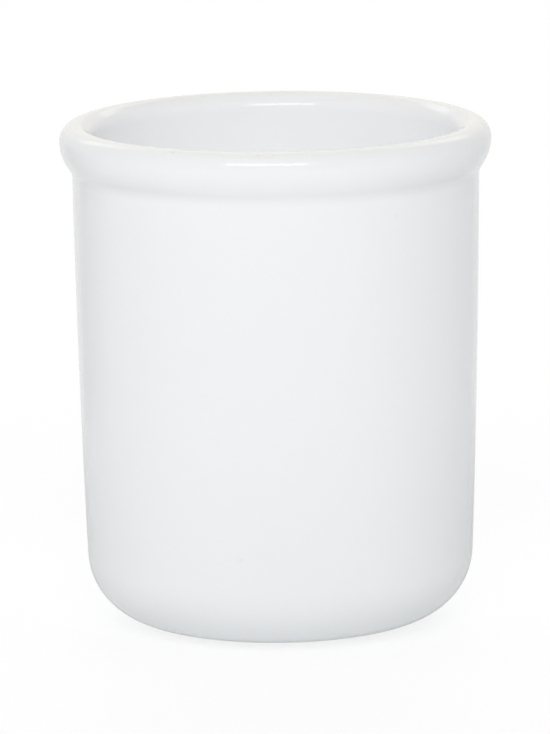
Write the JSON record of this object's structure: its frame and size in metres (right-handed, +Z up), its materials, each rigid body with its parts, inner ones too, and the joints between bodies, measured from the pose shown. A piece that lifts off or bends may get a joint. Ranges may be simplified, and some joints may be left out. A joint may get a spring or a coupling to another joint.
{
  "type": "utensil crock",
  "caption": "Round open-topped stoneware crock for kitchen utensils, white glazed, with a rolled rim, a slightly tapering wall, a wide bottom curve and a bare foot ring.",
  "frame": {"origin": "on the table plane under the pot's axis, at the foot ring's resting face", "axes": "+Z up along the pot's axis, out of the mouth; the pot is round, so +X and +Y are any two directions across it"},
  "size_m": [0.13, 0.13, 0.1527],
  "materials": {
    "bare_clay": "matt, fired and unglazed, ground smooth on the foot ring",
    "white_glaze": "glossy opaque white, a little creamier where it thins over the rim"
  },
  "bodies": {
    "root": {"clay_body": "bare_clay", "glaze_coat": "white_glaze", "base_glaze": "white_glaze"}
  },
  "joints": []
}
